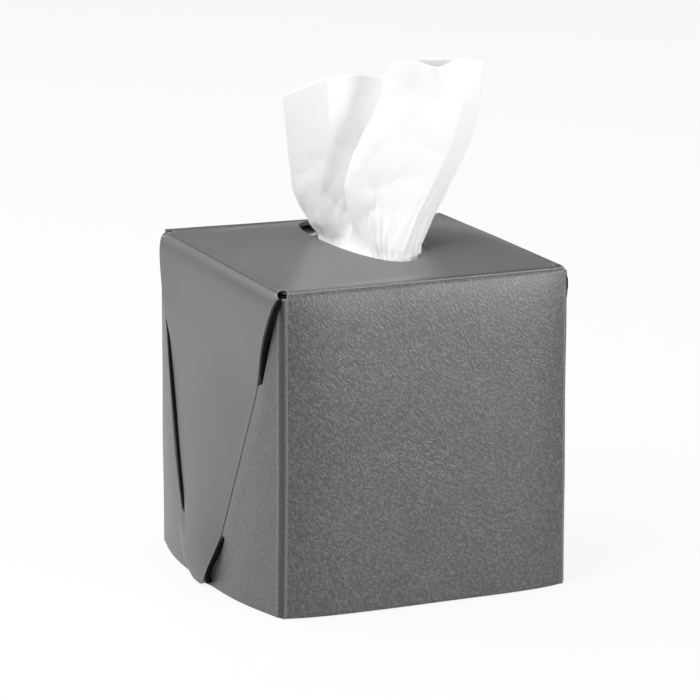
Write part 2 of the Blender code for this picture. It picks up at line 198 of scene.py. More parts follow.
floor_finish = Finish("white_floor")
floor_finish.set(Base_Color=FLOOR_COLOR, Roughness=1.0, Specular_IOR_Level=0.0)
floor_shader = white_to_the_eye(
    floor_finish, Value(floor_finish, floor_finish.shader.outputs[0]),
    1 - FLOOR_SHADOW_SHARE)
floor_finish.tree.links.new(floor_shader.socket, floor_finish.out.inputs["Surface"])
floor_bm = bmesh.new()
bmesh.ops.create_grid(floor_bm, x_segments=1, y_segments=1, size=FLOOR_SIZE / 2)
floor_mesh = bpy.data.meshes.new("floor")
floor_bm.to_mesh(floor_mesh)
floor_bm.free()
floor_mesh.materials.append(floor_finish.material)
floor = bpy.data.objects.new("floor", floor_mesh)
bpy.context.scene.collection.objects.link(floor)

world = bpy.data.worlds.new("surround")
bpy.context.scene.world = world
world.use_nodes = True
surround = world.node_tree.nodes["Background"]
surround.inputs["Color"].default_value = WHITE
surround.inputs["Strength"].default_value = SURROUND_LEVEL

for lamp_name, (lamp_place, lamp_size, lamp_power) in LAMPS.items():
    lamp_data = bpy.data.lights.new(lamp_name, "AREA")
    lamp_data.size = lamp_size
    lamp_data.energy = lamp_power
    lamp = bpy.data.objects.new(lamp_name, lamp_data)
    lamp.location = lamp_place
    lamp.rotation_euler = (LAMP_AIM - lamp.location).to_track_quat("-Z", "Y").to_euler()
    bpy.context.scene.collection.objects.link(lamp)


# Tissue carton.  A plain white paperboard cube carton with an oval torn out of its top,
# and in it the stack of interleaved paper tissues, whose folded edges show as layers.
# Both keep the CAD pieces' own shape.
CARTON_COLOR = (0.72, 0.72, 0.7, 1)
CARTON_MOTTLE_COLOR = (0.6, 0.6, 0.57, 1)
CARTON_MOTTLE_SIZE = 9 * MM
CARTON_MOTTLE_SHARE = 0.25
CARTON_FIBRE_SIZE = 0.6 * MM
CARTON_FIBRE_DEPTH = 0.02 * MM
STACK_COLOR = (0.83, 0.83, 0.82, 1)
STACK_LAYER = 0.9 * MM
STACK_LAYER_DEPTH = 0.25 * MM

carton_finish = Finish("white_carton_board")
carton_mottle = carton_finish.noise(carton_finish.place(), CARTON_MOTTLE_SIZE, 3)
carton_fibres = carton_finish.noise(carton_finish.place(), CARTON_FIBRE_SIZE)
carton_finish.set(
    Base_Color=carton_finish.mix(
        carton_mottle * CARTON_MOTTLE_SHARE, CARTON_COLOR, CARTON_MOTTLE_COLOR),
    Roughness=0.62,
    Normal=carton_finish.bump(carton_fibres, CARTON_FIBRE_DEPTH))
carton_node = frame["nodes"]["tissue_carton"]
carton_node.data.materials.clear()
carton_node.data.materials.append(carton_finish.material)

stack_finish = Finish("folded_tissue_edges")
stack_rows = stack_finish.node(
    "SeparateXYZ", values=[stack_finish.place()], output="Z") / STACK_LAYER
stack_layers = stack_rows.math("FRACT").math("PINGPONG", 0.5) * 2
stack_finish.set(
    Base_Color=STACK_COLOR, Roughness=0.95,
    Normal=stack_finish.bump(stack_layers, STACK_LAYER_DEPTH))
stack_node = frame["nodes"]["tissue_stack"]
stack_node.data.materials.clear()
stack_node.data.materials.append(stack_finish.material)


# Leather sheet.  Bonded leather on board, cut as one flat sheet with the five faces of
# the cover, scored along its folds and folded down over the carton.  Each face is one
# piece of the sheet, with a finish of its own, and its scores get painted shade in their
# grooves and painted highlights on their ridges.  A side is -1 for the left and 1 for the
# right, and an end -1 for the front and 1 for the back.
fold_of = {joint["name"]: joint["pos_m"] for joint in frame["joints"]
           if joint["type"] == "hinge"}
HALF_WIDTH = -fold_of["left_flap_fold"][0]
HALF_DEPTH = -fold_of["front_panel_fold"][1]
HEIGHT = fold_of["left_flap_fold"][2]
LEATHER = 1.8 * MM
LEATHER_AT_FOLD = 0.8 * MM
HEM_LIFT = 0.4 * MM
CROWN = 8 * MM
SEAM_FOOT = 10.3 * MM
CORNER_HOLE_RADIUS = 2.2 * MM
CORNER_HOLE_HIGHLIGHT_RIM = 0.7 * MM
CORNER_HOLE_SHIFT = 0.7 * MM
CORNER_PUNCH_AIM = (0.5, 0.85, 0.4)
CORNER_PUNCH_DEPTH = 16 * MM
FOLD_RADIUS = 0.9 * MM
FOLD_START = -3.4 * MM
UPRIGHT_START = -1.9 * MM
FOLD_END = 4.6 * MM
BLEND_START = 1.2 * MM
BLEND_END = 2 * MM
CUT_EDGE_RADIUS = 0.4 * MM
SHOULDER_LINE = 6.7 * MM
SHOULDER_FADE = 18 * MM
END_DIP = 1.1 * MM
SIDE_RISE = 0.25 * MM
SCORE_DEPTH = 0.45 * MM
CORNER_LIFT = 0.8 * MM
CORNER_LIFT_RADIUS = 3 * MM
RIGHT_STRETCH = 0.5 * MM
BACK_LEFT_STRETCH = 1.3 * MM
BACK_RIGHT_SAG = 1.4 * MM
BACK_LEFT_LIFT = 1.0 * MM
FRONT_LEFT_FLARE = 1.7 * MM
WAVE_HEIGHT = 0.2 * MM
WAVE_SIZE = 34 * MM
# A line that the scoring presses: how far it lies past its fold, and its width.
EDGE_RIDGE = (0.1 * MM, 0.42 * MM)
EDGE_LINE = (1.2 * MM, 0.3 * MM)
EDGE_LINE_SHARE = 0.2
GROOVE_MIDDLE = 0.8 * MM
GROOVE_HALF_WIDTH = 1.7 * MM
INNER_LIP = (3.2 * MM, 0.45 * MM)
INNER_LIP_SHARE = 0.45
OUTER_LIP = (-1.5 * MM, 0.35 * MM)
OUTER_LIP_SHARE = 0.22
FLAP_LIP = (1 * MM, 0.4 * MM)
FLAP_LIP_SHARE = 0.1
FLAP_LINE = (0, 0.3 * MM)
FLAP_LINE_SHARE = 0.7
SLOPE_STEP = 0.05 * MM
MERGE_DISTANCE = 0.01 * MM
CUT_MARGIN = 0.1 * MM
SHARP_EDGE_DEG = 50
HOLE_SEGMENTS = 48
# The finish: the grain's pebbles, the creases among them, and the painted shade and painted
# highlights along the scores.
GRAIN_STRETCH = 1.9
GRAIN_DRIFT = 1.6 * MM
GRAIN_DRIFT_SIZE = 7 * MM
GRAIN_SOFTNESS = 0.35
LUMP_SIZE_SHARE = 0.8
LUMP_RANGE = (0.32, 0.68)
PEBBLE_RANGE = (0.38, 0.82)
PEBBLE_TINT_SHARE = 0.85
CREASE_SIZE_SHARE = 2.2
CREASE_RAGGEDNESS = 0.55
CREASE_WIDTH = 0.09
CREASED_PATCH_SIZE = 40 * MM
CREASED_PATCH_RANGE = (0.4, 0.62)
CREASED_PATCH_LEAST = 0.1
CLOUD_SIZE = 30 * MM
CLOUD_ROUGHNESS = 0.1
PAINTED_SHADE_LEVEL = 0.2
PAINTED_SHADE_SHARE = 0.85
PAINTED_HIGHLIGHT_LEVEL = 2.2
PAINTED_HIGHLIGHT_SHARE = 0.8


def grey(shade):
    return (shade, shade, shade, 1)


def leather_finish(name, base, grain_size, grain_depth, grain_tint, roughness,
                   slant=(0, 0, 0), wrinkle_depth=0.0, gloss=0.5):
    """Grey leather: grain drawn out along a slant, creases, painted shade in the score grooves
    and painted highlights on score ridges and hole rims.
    """
    finish = Finish(name)
    place = finish.place()
    drift = finish.node(
        "TexNoise", values={"Vector": place, "Scale": 1 / GRAIN_DRIFT_SIZE, "Detail": 2.0},
        output="Color")
    drift = finish.node("VectorMath", {"operation": "SUBTRACT"}, [drift, (0.5, 0.5, 0.5)])
    drift = finish.node("VectorMath", {"operation": "SCALE"},
                        {"Vector": drift, "Scale": 2 * GRAIN_DRIFT})
    warped = finish.node("VectorMath", {"operation": "ADD"}, [place, drift])
    slanted = finish.node(
        "Mapping", {"vector_type": "TEXTURE"},
        {"Vector": warped, "Rotation": slant, "Scale": (1.0, 1.0, GRAIN_STRETCH)})
    cells = finish.node(
        "TexVoronoi", {"feature": "SMOOTH_F1"},
        {"Vector": slanted, "Scale": 1 / grain_size, "Smoothness": GRAIN_SOFTNESS},
        "Distance")
    lumps = finish.ramp(finish.noise(slanted, LUMP_SIZE_SHARE * grain_size, 2), *LUMP_RANGE)
    pebbles = finish.ramp((1 - cells) * 0.5 + lumps * 0.5, *PEBBLE_RANGE)
    creased = finish.noise(
        slanted, CREASE_SIZE_SHARE * grain_size, 2, CREASE_RAGGEDNESS)
    creases = finish.ramp((creased - 0.5).math("ABSOLUTE"), 0.0, CREASE_WIDTH)
    patches = finish.ramp(
        finish.noise(place, CREASED_PATCH_SIZE, 1), *CREASED_PATCH_RANGE, CREASED_PATCH_LEAST)
    normal = finish.bump(creases * patches, wrinkle_depth)
    normal = finish.bump(pebbles, grain_depth, normal)
    score = finish.node("Attribute", {"attribute_name": "score"}, output="Fac")
    # Painted shade darkens the score's grooves, and a painted highlight lightens its ridges and
    # the corner holes' rims.
    painted_shade = (score * -1.0).math("MAXIMUM", 0.0).math("MINIMUM", 1.0)
    painted_highlight = score.math("MAXIMUM", 0.0).math("MINIMUM", 1.0)
    cloud = finish.noise(place, CLOUD_SIZE, 3)
    tint = finish.mix(
        pebbles * PEBBLE_TINT_SHARE + cloud * (1 - PEBBLE_TINT_SHARE),
        grey(base * (1 - grain_tint)), grey(base * (1 + grain_tint)))
    tint = finish.mix(painted_shade * PAINTED_SHADE_SHARE, tint, grey(base * PAINTED_SHADE_LEVEL))
    tint = finish.mix(painted_highlight * PAINTED_HIGHLIGHT_SHARE, tint, grey(base * PAINTED_HIGHLIGHT_LEVEL))
    finish.set(
        Base_Color=tint, Roughness=roughness + CLOUD_ROUGHNESS * cloud,
        Specular_IOR_Level=gloss, Normal=normal)
    return finish


def smooth_share(value):
    """A share from 0 to 1 that starts and stops gently."""
    value = min(max(value, 0), 1)
    return value * value * (3 - 2 * value)


def eased(value, start, run):
    """0 up to a start, 1 past a run from it, and a gentle rise between."""
    return smooth_share((value - start) / run)


def bell(distance, width):
    """1 at no distance, and nearly 0 two widths away."""
    return math.exp(-(distance / width) ** 2)


def pressed_line(run, place, width):
    """1 on a line at a place past the fold, and nearly 0 two widths away."""
    return bell(run - place, width)


def shoulder(inside):
    """1 at the score line inside an edge, and 0 at the edge and far from it."""
    if inside < SHOULDER_LINE:
        return max(inside, 0) / SHOULDER_LINE
    return 1 - smooth_share((inside - SHOULDER_LINE) / SHOULDER_FADE)


def top_height(x, y):
    """Height of the top's outer surface, crowned by the carton, with scored shoulders."""
    across = 1 - (x / HALF_WIDTH) ** 2
    along = 1 - (y / HALF_DEPTH) ** 2
    height = HEIGHT + CROWN * across * along
    height -= END_DIP * shoulder(HALF_DEPTH - abs(y)) * across
    height += SIDE_RISE * shoulder(HALF_WIDTH - abs(x)) * along
    from_corner = math.hypot(HALF_DEPTH - abs(y), HALF_WIDTH - abs(x))
    return height + CORNER_LIFT * bell(from_corner, CORNER_LIFT_RADIUS)


def lean(point):
    """The cover as it stands, a little out of square, flared, and sagging at one corner."""
    back = (point.y + HALF_DEPTH) / (2 * HALF_DEPTH)
    middle = (BACK_LEFT_LIFT - BACK_RIGHT_SAG) / 2
    slope = (BACK_LEFT_LIFT + BACK_RIGHT_SAG) / 2
    shift = back * (middle - slope * point.x / HALF_WIDTH)
    from_left = (point.x + HALF_WIDTH) / (2 * HALF_WIDTH)
    outward = RIGHT_STRETCH * from_left - BACK_LEFT_STRETCH * back * (1 - from_left)
    height_share = smooth_share(point.z / HEIGHT)
    lifted = point.z + shift * height_share
    from_top = 1 - min(point.z / HEIGHT, 1)
    flare = FRONT_LEFT_FLARE * ((1 - from_left) * (1 - back)) ** 2 * from_top ** 3
    return Vector((point.x + outward - flare, point.y - flare, lifted))


def seam_distance(drop):
    """How far the seam lies from the middle of the side, at a drop below the fold."""
    return HALF_DEPTH - (HALF_DEPTH - SEAM_FOOT) / HEIGHT * drop


def waviness(point):
    """Slow waves of the hand-folded sheet."""
    return WAVE_HEIGHT * noise.noise(point / WAVE_SIZE)


def graded(*runs):
    """Distances in runs: a start, then pairs of an end and a count of steps to it."""
    marks = [runs[0]]
    for end, count in runs[1:]:
        start = marks[-1]
        marks += [start + (end - start) * (index + 1) / count for index in range(count)]
    return marks


def rounded(place, across, run):
    """A point past a fold, whose sharp corner is rounded off."""
    if abs(run) >= FOLD_RADIUS:
        return place(across, run)
    share = (run + FOLD_RADIUS) / (2 * FOLD_RADIUS)
    start, middle, end = (place(across, at) for at in (-FOLD_RADIUS, 0, FOLD_RADIUS))
    return start * (1 - share) ** 2 + middle * 2 * share * (1 - share) + end * share ** 2


def edge_score(run):
    """The fold of the front and the back under the top: a ridge, and a line below it."""
    ridge = pressed_line(run, *EDGE_RIDGE)
    return SCORE_DEPTH * (ridge - EDGE_LINE_SHARE * pressed_line(run, *EDGE_LINE))


def upright_score(run):
    """The wide score that the die presses along an upright fold, between two lips; the finish
    paints shade into its groove.
    """
    groove = math.exp(-((run - GROOVE_MIDDLE) / GROOVE_HALF_WIDTH) ** 4)
    lips = INNER_LIP_SHARE * pressed_line(run, *INNER_LIP)
    lips += OUTER_LIP_SHARE * pressed_line(run, *OUTER_LIP)
    return SCORE_DEPTH * (lips - groove)


def flap_score(run):
    """The fine score along the fold of a side flap."""
    lip = FLAP_LIP_SHARE * pressed_line(run, *FLAP_LIP)
    return SCORE_DEPTH * (lip - FLAP_LINE_SHARE * pressed_line(run, *FLAP_LINE))


def sheet_point(place, relief, outward, across, run):
    """A point of the sheet's outer face, and the direction out of it."""
    step = SLOPE_STEP
    point = rounded(place, across, run)
    side = rounded(place, across + step, run) - rounded(place, across - step, run)
    down = rounded(place, across, run + step) - rounded(place, across, run - step)
    normal = side.cross(down).normalized()
    if normal.dot(outward) < 0:
        normal.negate()
    return point + normal * (relief(across, run) + waviness(point)), normal


def leather_sheet(across_marks, run_marks, place, relief, outward, spread=None):
    """An open sheet; place(across, run) is on its outer face, and relief raises it.

    With a spread, the marks are shares of the sheet, and spread turns them to places.
    """
    bm = bmesh.new()
    columns, rows = len(across_marks) - 1, len(run_marks) - 1
    bmesh.ops.create_grid(bm, x_segments=columns, y_segments=rows, size=1)
    inward = bm.verts.layers.float_vector.new("inward")
    score = bm.verts.layers.float.new("score")
    for vert in bm.verts:
        across = across_marks[round((vert.co.x + 1) / 2 * columns)]
        run = run_marks[round((vert.co.y + 1) / 2 * rows)]
        if spread:
            across, run = spread(across, run)
        point, normal = sheet_point(place, relief, outward, across, run)
        vert.co = lean(point)
        # The score, as a share of its depth, also paints the leather: painted shade in its
        # grooves and painted highlight on its ridges.
        vert[score] = relief(across, run) / SCORE_DEPTH
        share = min(abs(run) / FOLD_END, 1)
        vert[inward] = -normal * (LEATHER_AT_FOLD + (LEATHER - LEATHER_AT_FOLD) * share)
    return bm


def give_board(bm, is_cut):
    """Give the sheet its thickness, and round the edges that the knife cut."""
    inward = bm.verts.layers.float_vector["inward"]
    bmesh.ops.remove_doubles(bm, verts=bm.verts, dist=MERGE_DISTANCE)
    cut_edges = [edge for edge in bm.edges if edge.is_boundary and is_cut(edge)]
    made = bmesh.ops.extrude_face_region(bm, geom=bm.faces[:])
    for item in made["geom"]:
        if isinstance(item, bmesh.types.BMVert):
            item.co += item[inward]
    bmesh.ops.recalc_face_normals(bm, faces=bm.faces)
    if bm.calc_volume(signed=True) < 0:
        bmesh.ops.reverse_faces(bm, faces=bm.faces)
    cut_edges = [edge for edge in cut_edges if edge.is_valid]
    bmesh.ops.bevel(
        bm, geom=cut_edges, offset=CUT_EDGE_RADIUS, offset_type="OFFSET", segments=2,
        profile=0.5, affect="EDGES", material=-1, clamp_overlap=True)


def add_piece(name, bm, finish, nodes):
    """Turn a bmesh into a smooth named piece that stands for CAD nodes."""
    mesh = bpy.data.meshes.new(name)
    bm.to_mesh(mesh)
    bm.free()
    for polygon in mesh.polygons:
        polygon.use_smooth = True
    mesh.materials.append(finish.material)
    piece = bpy.data.objects.new(name, mesh)
    bpy.context.scene.collection.objects.link(piece)
    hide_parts(*nodes)
    return piece


def sharpen(piece):
    """Keep the edges of the cuts crisp."""
    piece.data.set_sharp_from_angle(angle=math.radians(SHARP_EDGE_DEG))


def punch(piece, cutter_bm, crossing=False):
    """Cut a shape out of a piece, as a die punches the board; crossing is for tight folds."""
    mesh = bpy.data.meshes.new("die")
    cutter_bm.to_mesh(mesh)
    cutter_bm.free()
    die = bpy.data.objects.new("die", mesh)
    bpy.context.scene.collection.objects.link(die)
    modifier = piece.modifiers.new("punched", "BOOLEAN")
    modifier.operation = "DIFFERENCE"
    modifier.object = die
    modifier.use_self = crossing
    bpy.context.view_layer.update()
    seen = piece.evaluated_get(bpy.context.evaluated_depsgraph_get())
    cut_mesh = bpy.data.meshes.new_from_object(seen)
    piece.modifiers.clear()
    piece.data = cut_mesh
    bpy.data.objects.remove(die, do_unlink=True)


def from_hole(point, centre, aim):
    """How far a point lies outside a corner hole's edge."""
    away = point - centre
    if away.length > CORNER_PUNCH_DEPTH / 2:
        return away.length
    return (away - aim * away.dot(aim)).length - CORNER_HOLE_RADIUS


def punch_corner_holes(piece, crossing=False):
    """Punch the round holes at the top corners out of a piece, and paint a highlight on their
    rims.
    """
    bm = bmesh.new()
    holes = []
    for side, end in ((-1, -1), (-1, 1), (1, -1), (1, 1)):
        centre = lean(Vector((
            side * (HALF_WIDTH + CORNER_HOLE_SHIFT), end * HALF_DEPTH,
            HEIGHT + CORNER_HOLE_SHIFT)))
        out, back, rise = CORNER_PUNCH_AIM
        aim = Vector((side * out, end * back, rise)).normalized()
        if min(from_hole(vert.co, centre, aim) for vert in piece.data.vertices) > 0:
            continue
        cone = bmesh.ops.create_cone(
            bm, cap_ends=True, segments=HOLE_SEGMENTS, radius1=CORNER_HOLE_RADIUS,
            radius2=CORNER_HOLE_RADIUS, depth=CORNER_PUNCH_DEPTH)["verts"]
        bmesh.ops.rotate(bm, matrix=aim.to_track_quat("Z", "Y").to_matrix(), verts=cone)
        bmesh.ops.translate(bm, vec=centre, verts=cone)
        holes.append((centre, aim))
    punch(piece, bm, crossing)
    # Painted highlight: the rims get the full score, so the finish lightens them.
    painted_highlight = piece.data.attributes["score"].data
    for vert in piece.data.vertices:
        if any(from_hole(vert.co, *hole) < CORNER_HOLE_HIGHLIGHT_RIM for hole in holes):
            painted_highlight[vert.index].value = 1


# Front and back.  The end faces of the leather sheet, with a coarse grain pressed in.  They
# hang from the top's folds and swell a little to the hem, which is the sheet's cut edge.
PANEL_SWELL = 3.5 * MM
PANEL_SHOULDER = 1.6 * MM
PANEL_SHOULDER_RUN = 9 * MM
PANEL_EDGE_STRIP = 6 * MM
FRONT_SLANT = (0, math.radians(-40), 0)

coarse_leather = leather_finish(
    "pebbled_grey_leather", base=0.098, grain_size=0.95 * MM, grain_depth=0.035 * MM,
    grain_tint=0.42, roughness=0.3, slant=FRONT_SLANT, wrinkle_depth=0.035 * MM)


def end_swell(x, drop):
    """How far the front or the back stands out past its fold."""
    swell = PANEL_SWELL * math.sin(math.pi / 2 * drop / HEIGHT) * (1 - (x / HALF_WIDTH) ** 4)
    shoulder = PANEL_SHOULDER * (1 - math.exp(-max(drop, 0) / PANEL_SHOULDER_RUN))
    return swell + shoulder * (1 - (x / HALF_WIDTH) ** 8)


def end_place(end):
    def place(across, run):
        if run < 0:
            y = HALF_DEPTH + run
            return Vector((across, end * y, top_height(across, y)))
        return Vector((across, end * (HALF_DEPTH + end_swell(across, run)), HEIGHT - run))
    return place


def end_relief(across, run):
    return edge_score(run) + upright_score(abs(across) - HALF_WIDTH)


inner_x = HALF_WIDTH + FOLD_START
inner_y = HALF_DEPTH + FOLD_START
panel_x = HALF_WIDTH + UPRIGHT_START
HEM_DROP = HEIGHT - HEM_LIFT
END_COLUMNS = graded(
    -panel_x, (-panel_x + PANEL_EDGE_STRIP, 16), (panel_x - PANEL_EDGE_STRIP, 78),
    (panel_x, 16))
END_ROWS = graded(FOLD_START, (4 * MM, 32), (9 * MM, 10), (HEM_DROP, 86))
for end_name, end in (("front", -1), ("back", 1)):
    panel_bm = leather_sheet(
        END_COLUMNS, END_ROWS, end_place(end), end_relief, Vector((0, end, 0.3)))
    give_board(panel_bm, lambda edge: all(vert.co.z < 2 * HEM_LIFT for vert in edge.verts))
    panel = add_piece(
        f"{end_name}_leather", panel_bm, coarse_leather, [f"{end_name}_panel"])
    punch_corner_holes(panel)
    sharpen(panel)
    end * (HALF_DEPTH - BLEND_START)
    end * HALF_DEPTH
    HEIGHT - BLEND_END
    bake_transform(panel)


# Top.  The middle of the leather sheet, worn to a satin gloss and pushed up by the
# carton's tissues, with the oval opening punched out of it.
OPENING_HALF_WIDTH = 22 * MM
OPENING_HALF_LENGTH = 46 * MM
OPENING_CUT_DEPTH = 60 * MM
OPENING_SEGMENTS = 128
SHOULDER_LINE_WIDTH = 0.45 * MM
SHOULDER_LINE_DEPTH_SHARE = 0.25
SHOULDER_LINE_START = (3 * MM, 4 * MM)
SHOULDER_LINE_END = 30 * MM
TOP_EDGE_STRIP = 7 * MM

top_leather = leather_finish(
    "satin_grey_leather", base=0.14, grain_size=0.6 * MM, grain_depth=0.006 * MM,
    grain_tint=0.06, roughness=0.24, gloss=0.75)


def top_relief(x, y):
    """The scores that the top shares with its folds, and the one along its shoulders."""
    from_front = HALF_DEPTH - abs(y)
    from_side = HALF_WIDTH - abs(x)
    line = bell(from_front - SHOULDER_LINE, SHOULDER_LINE_WIDTH)
    fade = eased(from_side, *SHOULDER_LINE_START) * smooth_share(1 - x / SHOULDER_LINE_END)
    folds = edge_score(-from_front) + flap_score(-from_side)
    return folds + SHOULDER_LINE_DEPTH_SHARE * SCORE_DEPTH * line * fade


TOP_COLUMNS = graded(
    -inner_x, (-inner_x + TOP_EDGE_STRIP, 20), (inner_x - TOP_EDGE_STRIP, 80), (inner_x, 20))
TOP_ROWS = graded(
    -inner_y, (-inner_y + TOP_EDGE_STRIP, 20), (inner_y - TOP_EDGE_STRIP, 84), (inner_y, 20))
top_bm = leather_sheet(
    TOP_COLUMNS, TOP_ROWS, lambda x, y: Vector((x, y, top_height(x, y))), top_relief,
    Vector((0, 0, 1)))
give_board(top_bm, lambda edge: False)
top = add_piece("top_leather_sheet", top_bm, top_leather, ["top_panel"])
oval_bm = bmesh.new()
bmesh.ops.create_cone(
    oval_bm, cap_ends=True, segments=OPENING_SEGMENTS, radius1=OPENING_HALF_WIDTH,
    radius2=OPENING_HALF_WIDTH, depth=OPENING_CUT_DEPTH)
bmesh.ops.scale(
    oval_bm, vec=(1, OPENING_HALF_LENGTH / OPENING_HALF_WIDTH, 1), verts=oval_bm.verts)
bmesh.ops.translate(oval_bm, vec=(0, 0, HEIGHT), verts=oval_bm.verts)
punch(top, oval_bm)
punch_corner_holes(top)
sharpen(top)
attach(top, "cover")


# Side flaps.  Tapered tongues of the leather sheet with a round tip, which fold down over
# the cords.  The pull of the cord tucks both edges of each in a little.
CORD_RADIUS = 1.1 * MM
FLAP_SEAM_CLEARANCE = 0.6 * MM
FLAP_SHOULDERS = {-1: 3.3 * MM, 1: 1.7 * MM}
FLAP_SHOULDER_RUN = 4.2 * MM
FLAP_FLARE = 9.7 * MM
FLAP_TIP_RADII = {-1: 1.6 * MM, 1: 8.5 * MM}
FLAP_FRONT_PULL = 3.4 * MM
FLAP_BACK_PULL = 2.4 * MM
# Where the pull starts or ends: a drop below the fold, and the run over which it changes.
FRONT_PULL_START = (18 * MM, 32 * MM)
FRONT_PULL_END = (112 * MM, 25 * MM)
FRONT_PULL_LOSS_SHARE = 0.92
BACK_PULL_START = (26 * MM, 20 * MM)
BACK_PULL_END = (104 * MM, 30 * MM)
BACK_PULL_LEAST_SHARE = 0.25
BACK_PULL_LOSS_SHARE = 0.7
FLAP_TRIM = 0.6 * MM
EDGE_BURR = 0.08 * MM
EDGE_BURR_WIDTH = 0.6 * MM
FLAP_END = HEM_DROP - FLAP_TRIM
SEAM_SECANT = math.hypot(1, (HALF_DEPTH - SEAM_FOOT) / HEIGHT)

smooth_leather = leather_finish(
    "fine_grained_grey_leather", base=0.13, grain_size=0.6 * MM, grain_depth=0.008 * MM,
    grain_tint=0.06, roughness=0.3)


def flap_bulge(drop, side):
    """How far the flap's outer face stands out past the fold."""
    shoulder = FLAP_SHOULDERS[side] * (1 - math.exp(-drop / FLAP_SHOULDER_RUN))
    return shoulder + FLAP_FLARE * drop / HEIGHT


def flap_half_width(drop, end):
    """Half-width of a side flap towards its front or back edge, with the tip rounded."""
    edge = seam_distance(drop) - (CORD_RADIUS + FLAP_SEAM_CLEARANCE) * SEAM_SECANT
    radius = FLAP_TIP_RADII[end]
    inset = radius - (FLAP_END - drop)
    if inset > 0:
        edge -= radius - math.sqrt(max(radius ** 2 - inset ** 2, 0))
    return edge


def flap_pull(share, drop):
    """How far the cord pulls the flap's edges in; share runs from front to back."""
    front = FLAP_FRONT_PULL * eased(drop, *FRONT_PULL_START)
    front *= 1 - FRONT_PULL_LOSS_SHARE * eased(drop, *FRONT_PULL_END)
    risen = (1 - BACK_PULL_LEAST_SHARE) * eased(drop, *BACK_PULL_START)
    back = FLAP_BACK_PULL * (BACK_PULL_LEAST_SHARE + risen)
    back *= 1 - BACK_PULL_LOSS_SHARE * eased(drop, *BACK_PULL_END)
    return front * (1 - share) ** 2 + back * share ** 2


def flap_place(side):
    def place(across, run):
        drop = max(run, 0)
        front = -flap_half_width(drop, -1)
        y = front + across * (flap_half_width(drop, 1) - front)
        if run < 0:
            x = HALF_WIDTH + run
            return Vector((side * x, y, top_height(x, y)))
        x = HALF_WIDTH + flap_bulge(run, side) - flap_pull(across, run)
        return Vector((side * x, y, HEIGHT - run))
    return place


def flap_relief(across, run):
    """The flap's score, the folds' ones near its ends, and the burr of its front edge."""
    relief = flap_score(run)
    width = flap_half_width(max(run, 0), -1) + flap_half_width(max(run, 0), 1)
    if run < 0:
        relief += edge_score(abs(across - 0.5) * width - HALF_DEPTH)
    else:
        # The burr also raises the score, so the finish paints a highlight along the front edge.
        relief += EDGE_BURR * bell(across * width, EDGE_BURR_WIDTH)
    return relief


FLAP_ROWS = graded(
    FOLD_START, (3 * MM, 36), (8 * MM, 10), (FLAP_END - FLAP_TIP_RADII[1], 78),
    (FLAP_END - 1.2 * MM, 14), (FLAP_END, 10))
for side_name, side in (("left", -1), ("right", 1)):
    flap_bm = leather_sheet(
        graded(0, (0.02, 8), (0.98, 56), (1, 3)), FLAP_ROWS,
        flap_place(side), flap_relief, Vector((side, 0, 0.3)))
    give_board(flap_bm, lambda edge: any(
        abs(vert.co.x) > inner_x + CUT_MARGIN for vert in edge.verts))
    flap = add_piece(
        f"{side_name}_flap_leather", flap_bm, smooth_leather, [f"{side_name}_flap"])
    punch_corner_holes(flap, crossing=True)
    sharpen(flap)
    side * (HALF_WIDTH - BLEND_START)
    side * HALF_WIDTH
    HEIGHT - BLEND_END
    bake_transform(flap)


# Wings.  The leather of the front and back carries on round the upright folds as
# triangles, which lie beside the cord.  Halfway down, the front ones lap over the cord up
# to the flap, and at the hem their edge lies under it.
WING_SPREAD_SHARE = 0.25
WING_SPREAD_LOSS = 0.095
WING_SPREAD_HOLD = 50 * MM
FRONT_SPREAD_LOSS_START = (20 * MM, 40 * MM)
WING_BOW = 2.2 * MM
WING_FOLD_COLUMNS = 44
WING_FLAT_COLUMNS = 36
WING_TOP_DROP = 2.2 * MM
WING_LEAST_REACH = 0.2 * MM
WINDOW_GAP = 2.5 * MM
WINDOW_GAP_START = (8 * MM, 34 * MM)
WINDOW_LAP = 0.2 * MM
BACK_WINDOW_GAP = 0.15 * MM
WING_UNDER = 6 * MM
UPPER_WINDOW_END = 40.5 * MM
LOWER_WINDOW_START = 113 * MM
BACK_WINDOW_END = 113 * MM
WINDOW_ROUNDING = 3 * MM
LAP_EDGE_GAP = 0.15 * MM
LAP_SINKS = {-1: 0.2 * MM, 1: 0.5 * MM}
LAP_RUN = 14 * MM
WING_SLANT = (math.radians(-40), 0, 0)

wing_leather = leather_finish(
    "shaved_grey_leather", base=0.142, grain_size=0.8 * MM, grain_depth=0.015 * MM,
    grain_tint=0.26, roughness=0.36, slant=WING_SLANT, wrinkle_depth=0.012 * MM)


def window(drop, end):
    """1 where the wing is cut away beside the cord, and 0 where it laps up to the flap."""
    if end > 0:
        return 1 - smooth_share((drop - BACK_WINDOW_END) / WINDOW_ROUNDING)
    return 1 - smooth_share((drop - UPPER_WINDOW_END) / WINDOW_ROUNDING)


def lower_window(drop, end):
    """1 where the front wing lies under the cord, near the hem."""
    return smooth_share((drop - LOWER_WINDOW_START) / WINDOW_ROUNDING) if end < 0 else 0


def wing_reach(drop, end):
    """How far the wing's free edge lies from its upright fold."""
    seam = HALF_DEPTH - seam_distance(drop)
    beside = seam - CORD_RADIUS * SEAM_SECANT
    lapped = seam + (CORD_RADIUS + FLAP_SEAM_CLEARANCE) * SEAM_SECANT - LAP_EDGE_GAP
    if end > 0:
        lapped = HALF_DEPTH - flap_half_width(drop, 1) - LAP_EDGE_GAP
        cut = beside - BACK_WINDOW_GAP * SEAM_SECANT
    else:
        cut = seam + WINDOW_LAP - WINDOW_GAP * eased(drop, *WINDOW_GAP_START)
    share = window(drop, end)
    reach = cut * share + lapped * (1 - share)
    under = seam + WING_UNDER
    share = lower_window(drop - WINDOW_ROUNDING, end)
    return reach * (1 - share) + under * share


